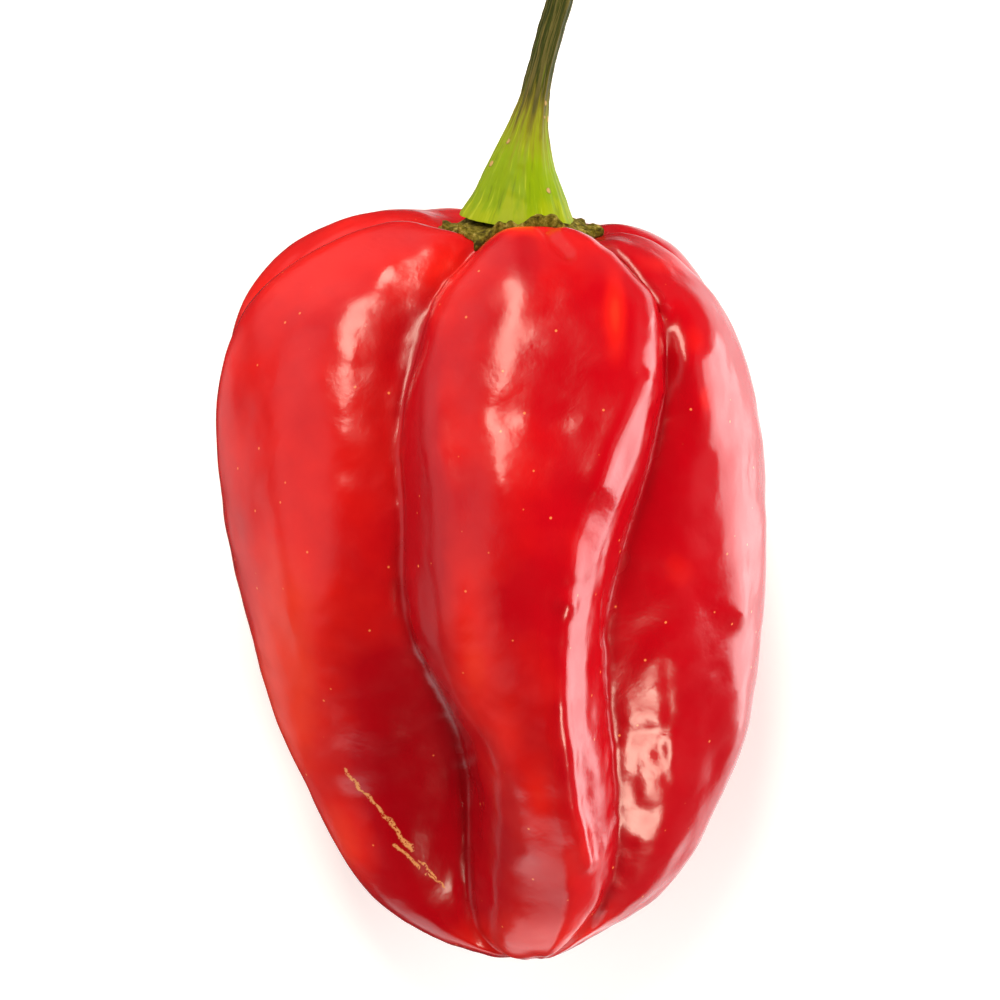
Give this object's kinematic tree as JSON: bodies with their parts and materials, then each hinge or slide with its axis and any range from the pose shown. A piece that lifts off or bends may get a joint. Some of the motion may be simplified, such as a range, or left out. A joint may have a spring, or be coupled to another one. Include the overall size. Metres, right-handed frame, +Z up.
{
  "type": "chilli pepper",
  "caption": "Red lantern chilli pepper lying on its side: a glossy lobed pod with deep creases and a blunt tip, a corky toothed calyx and a slender green stem with a flared foot.",
  "frame": {"origin": "on the surface that the pepper lies on, under the centre of the whole object's box", "axes": "+Y along the pod towards the stem, +Z up, away from the surface that it lies on"},
  "size_m": [0.04, 0.0838, 0.0352],
  "materials": {
    "pod_skin": "waxy, glossy, ripe red fruit skin",
    "calyx_cork": "dry, granular, dark olive cork",
    "stem_skin": "satin green plant skin with fine ribs"
  },
  "bodies": {
    "root": {"pod": "pod_skin", "calyx": "calyx_cork", "stem": "stem_skin"}
  },
  "joints": []
}
